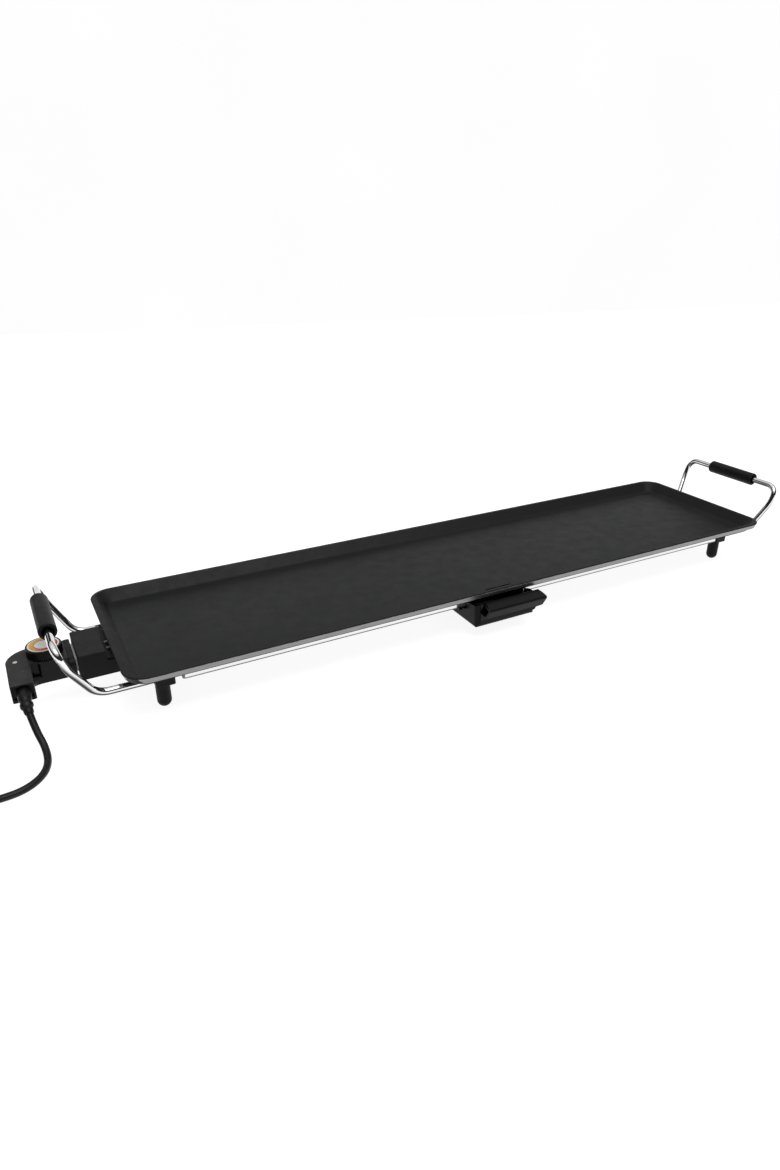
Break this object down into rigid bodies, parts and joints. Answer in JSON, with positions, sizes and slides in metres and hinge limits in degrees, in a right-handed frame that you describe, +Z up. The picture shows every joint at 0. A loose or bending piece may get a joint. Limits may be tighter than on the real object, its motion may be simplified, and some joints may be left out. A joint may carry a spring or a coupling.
{
  "type": "electric griddle",
  "caption": "Long flat electric griddle with raised rim, chrome wire handles with black grips, four feet, a slide-out drip tray and a plug-in temperature control with dial and cord",
  "frame": {"origin": "on the floor under the middle of the outer box of the griddle without its cord", "axes": "X along the length with the control at -X, Y to the back with the drip tray at -Y, Z up"},
  "size_m": [1.2047, 0.2629, 0.1093],
  "materials": {
    "coated_plate": "matte non-stick coating on cast aluminium",
    "bright_sheet": "bright rolled sheet, nearly mirror",
    "chrome_wire": "polished chrome wire",
    "black_moulding": "matte black phenolic moulding",
    "gloss_moulding": "glossy black moulding",
    "element_steel": "dark oxidised heating element sheath",
    "zinc_steel": "zinc plated screws and brackets",
    "black_steel": "black painted sheet bracket",
    "ceramic": "white steatite insulator",
    "sensor_steel": "stainless sensor rod and guide tube",
    "contact_brass": "brass contacts and plug pins",
    "dial_white": "printed dial face, white with a yellow to red arc",
    "lamp_lens": "amber pilot lamp lens",
    "cord_jacket": "black rubber cord jacket"
  },
  "bodies": {
    "griddle": {"griddle_plate": "coated_plate", "heating_element": "element_steel", "element_clamps": "zinc_steel", "clamp_screws": "zinc_steel", "terminal_pins": "sensor_steel", "terminal_insulators": "ceramic", "sensor_guide_tube": "sensor_steel", "terminal_board": "zinc_steel", "earth_tab": "contact_brass", "socket_guard": "black_moulding", "guard_bracket": "black_steel", "guard_screws": "zinc_steel", "reflector_pan": "bright_sheet", "pan_screws": "zinc_steel", "tray_rail_left": "black_steel", "tray_rail_right": "black_steel", "foot_front_left": "black_moulding", "foot_front_right": "black_moulding", "foot_rear_left": "black_moulding", "foot_rear_right": "black_moulding", "foot_screws": "zinc_steel", "handle_wire_left": "chrome_wire", "handle_wire_right": "chrome_wire", "grip_left": "black_moulding", "grip_right": "black_moulding"},
    "drip_tray_body": {"drip_tray": "gloss_moulding"},
    "control_probe": {"probe_housing_upper": "gloss_moulding", "probe_housing_lower": "gloss_moulding", "housing_screws": "zinc_steel", "nose_flange": "black_moulding", "nose_insulator": "ceramic", "contact_sleeves": "contact_brass", "sensor_rod": "sensor_steel", "earth_contact": "contact_brass", "thermostat_frame": "zinc_steel", "contact_stack": "ceramic", "contact_leaf": "contact_brass", "bimetal_blade": "sensor_steel", "pilot_lamp_lens": "lamp_lens", "pilot_lamp": "lamp_lens", "cord_clamp": "black_moulding", "strain_relief": "cord_jacket", "cord_tube": "cord_jacket", "cord_coil": "cord_jacket", "cord_tie": "black_moulding", "cord_tail": "cord_jacket", "plug_strain_relief": "cord_jacket", "plug_body": "black_moulding", "plug_earth_clips": "contact_brass", "plug_pins": "contact_brass"},
    "temperature_knob_body": {"temperature_knob": "gloss_moulding", "dial_disc": "dial_white", "knob_spindle": "sensor_steel"}
  },
  "joints": [
    {"name": "drip_tray_slide", "type": "slide", "parent": "griddle", "child": "drip_tray_body", "axis": [0, -1, 0], "range_m": [0, 0.11]},
    {"name": "control_unplug", "type": "slide", "parent": "griddle", "child": "control_probe", "axis": [-1, 0, 0], "range_m": [0, 0.13]},
    {"name": "knob_turn", "type": "hinge", "parent": "control_probe", "child": "temperature_knob_body", "pos_m": [-0.4928, 0.00784, 0.058], "axis": [0, 0, 1], "range_deg": [0, 270]}
  ]
}
